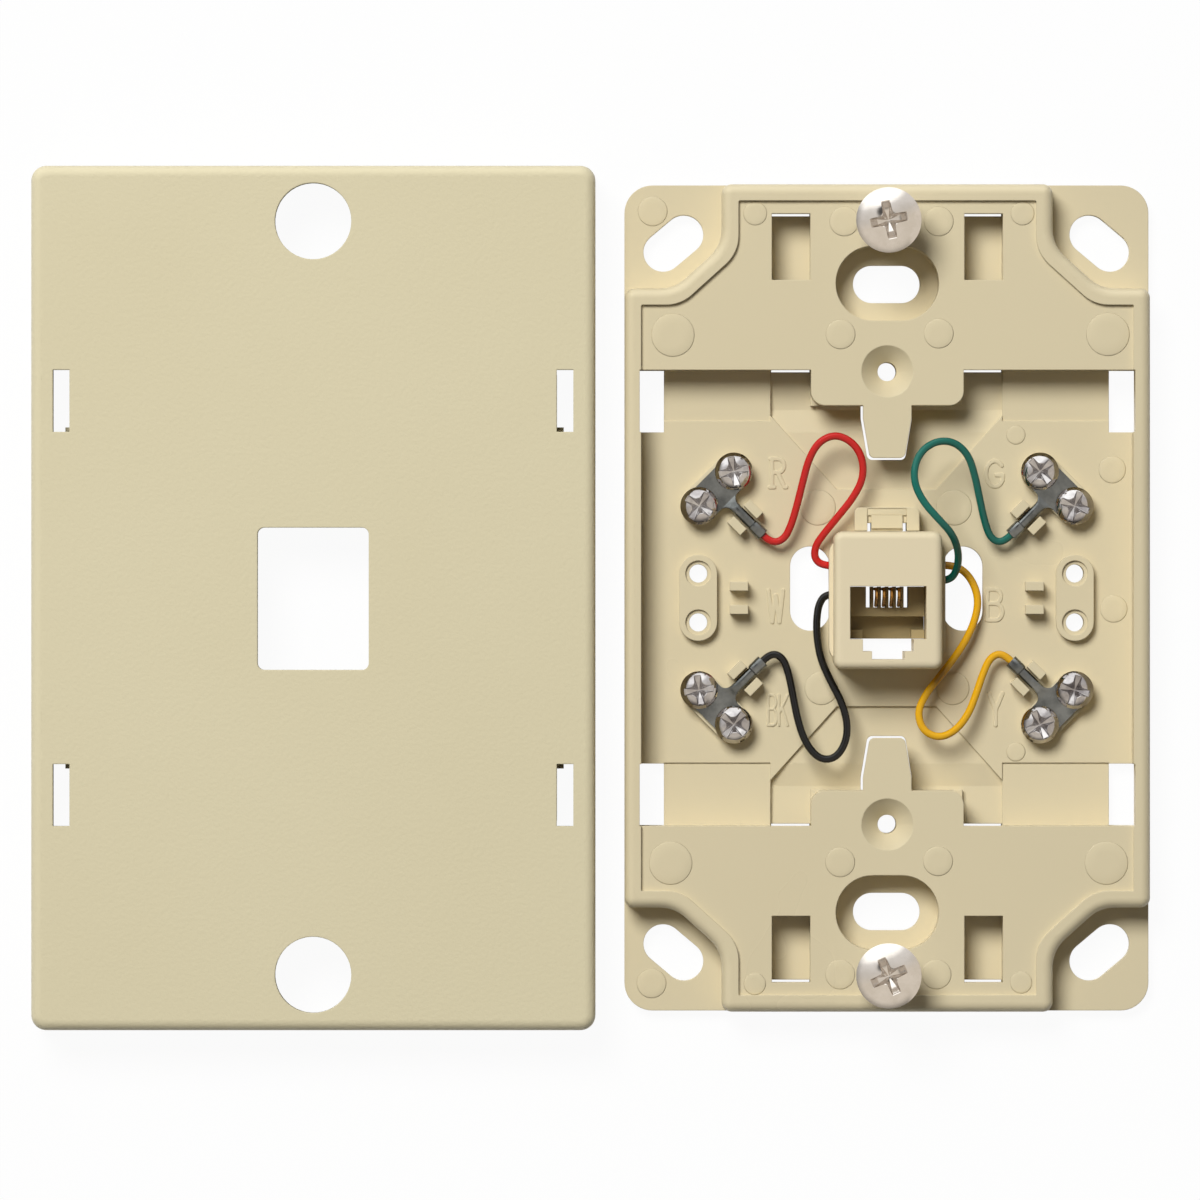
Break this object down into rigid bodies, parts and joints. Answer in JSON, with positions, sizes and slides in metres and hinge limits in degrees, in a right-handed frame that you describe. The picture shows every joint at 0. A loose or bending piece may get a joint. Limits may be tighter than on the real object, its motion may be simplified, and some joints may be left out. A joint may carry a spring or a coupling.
{
  "type": "telephone wall socket",
  "caption": "Surface telephone wall socket with a modular jack, screw terminals on coloured wires, hanging studs and its press-fit cover plate taken off and laid beside it.",
  "frame": {"origin": "centre of the base on its back plane, midway between the wall screw holes", "axes": "+Z out of the wall towards the front of the jack, +Y up the wall with the latch slot of the jack at its lower side, +X to the right seen from the front; the loose cover plate lies at -X"},
  "size_m": [0.1481, 0.1142, 0.0153],
  "materials": {
    "ivory_base": "satin moulded plastic",
    "ivory_cover": "fine matt texture",
    "ivory_jack": "satin moulded plastic",
    "ivory_carrier": "satin moulded plastic",
    "contact_metal": "gold plated spring wire",
    "stud_chrome": "bright plated",
    "screw_metal": "bright plated",
    "tinned_lug": "tinned, crimped",
    "red_insulation": "satin",
    "green_insulation": "satin",
    "yellow_insulation": "satin",
    "black_insulation": "satin"
  },
  "bodies": {
    "root": {"base": "ivory_base", "cover_plate": "ivory_cover", "jack_housing": "ivory_jack", "contact_carrier": "ivory_carrier", "contact_wire_1": "contact_metal", "contact_wire_2": "contact_metal", "contact_wire_3": "contact_metal", "contact_wire_4": "contact_metal", "phone_stud_top": "stud_chrome", "phone_stud_bottom": "stud_chrome", "lug_red": "tinned_lug", "terminal_screw_red_1": "screw_metal", "terminal_screw_red_2": "screw_metal", "wire_red": "red_insulation", "lug_green": "tinned_lug", "terminal_screw_green_1": "screw_metal", "terminal_screw_green_2": "screw_metal", "wire_green": "green_insulation", "lug_yellow": "tinned_lug", "terminal_screw_yellow_1": "screw_metal", "terminal_screw_yellow_2": "screw_metal", "wire_yellow": "yellow_insulation", "lug_black": "tinned_lug", "terminal_screw_black_1": "screw_metal", "terminal_screw_black_2": "screw_metal", "wire_black": "black_insulation"}
  },
  "joints": []
}
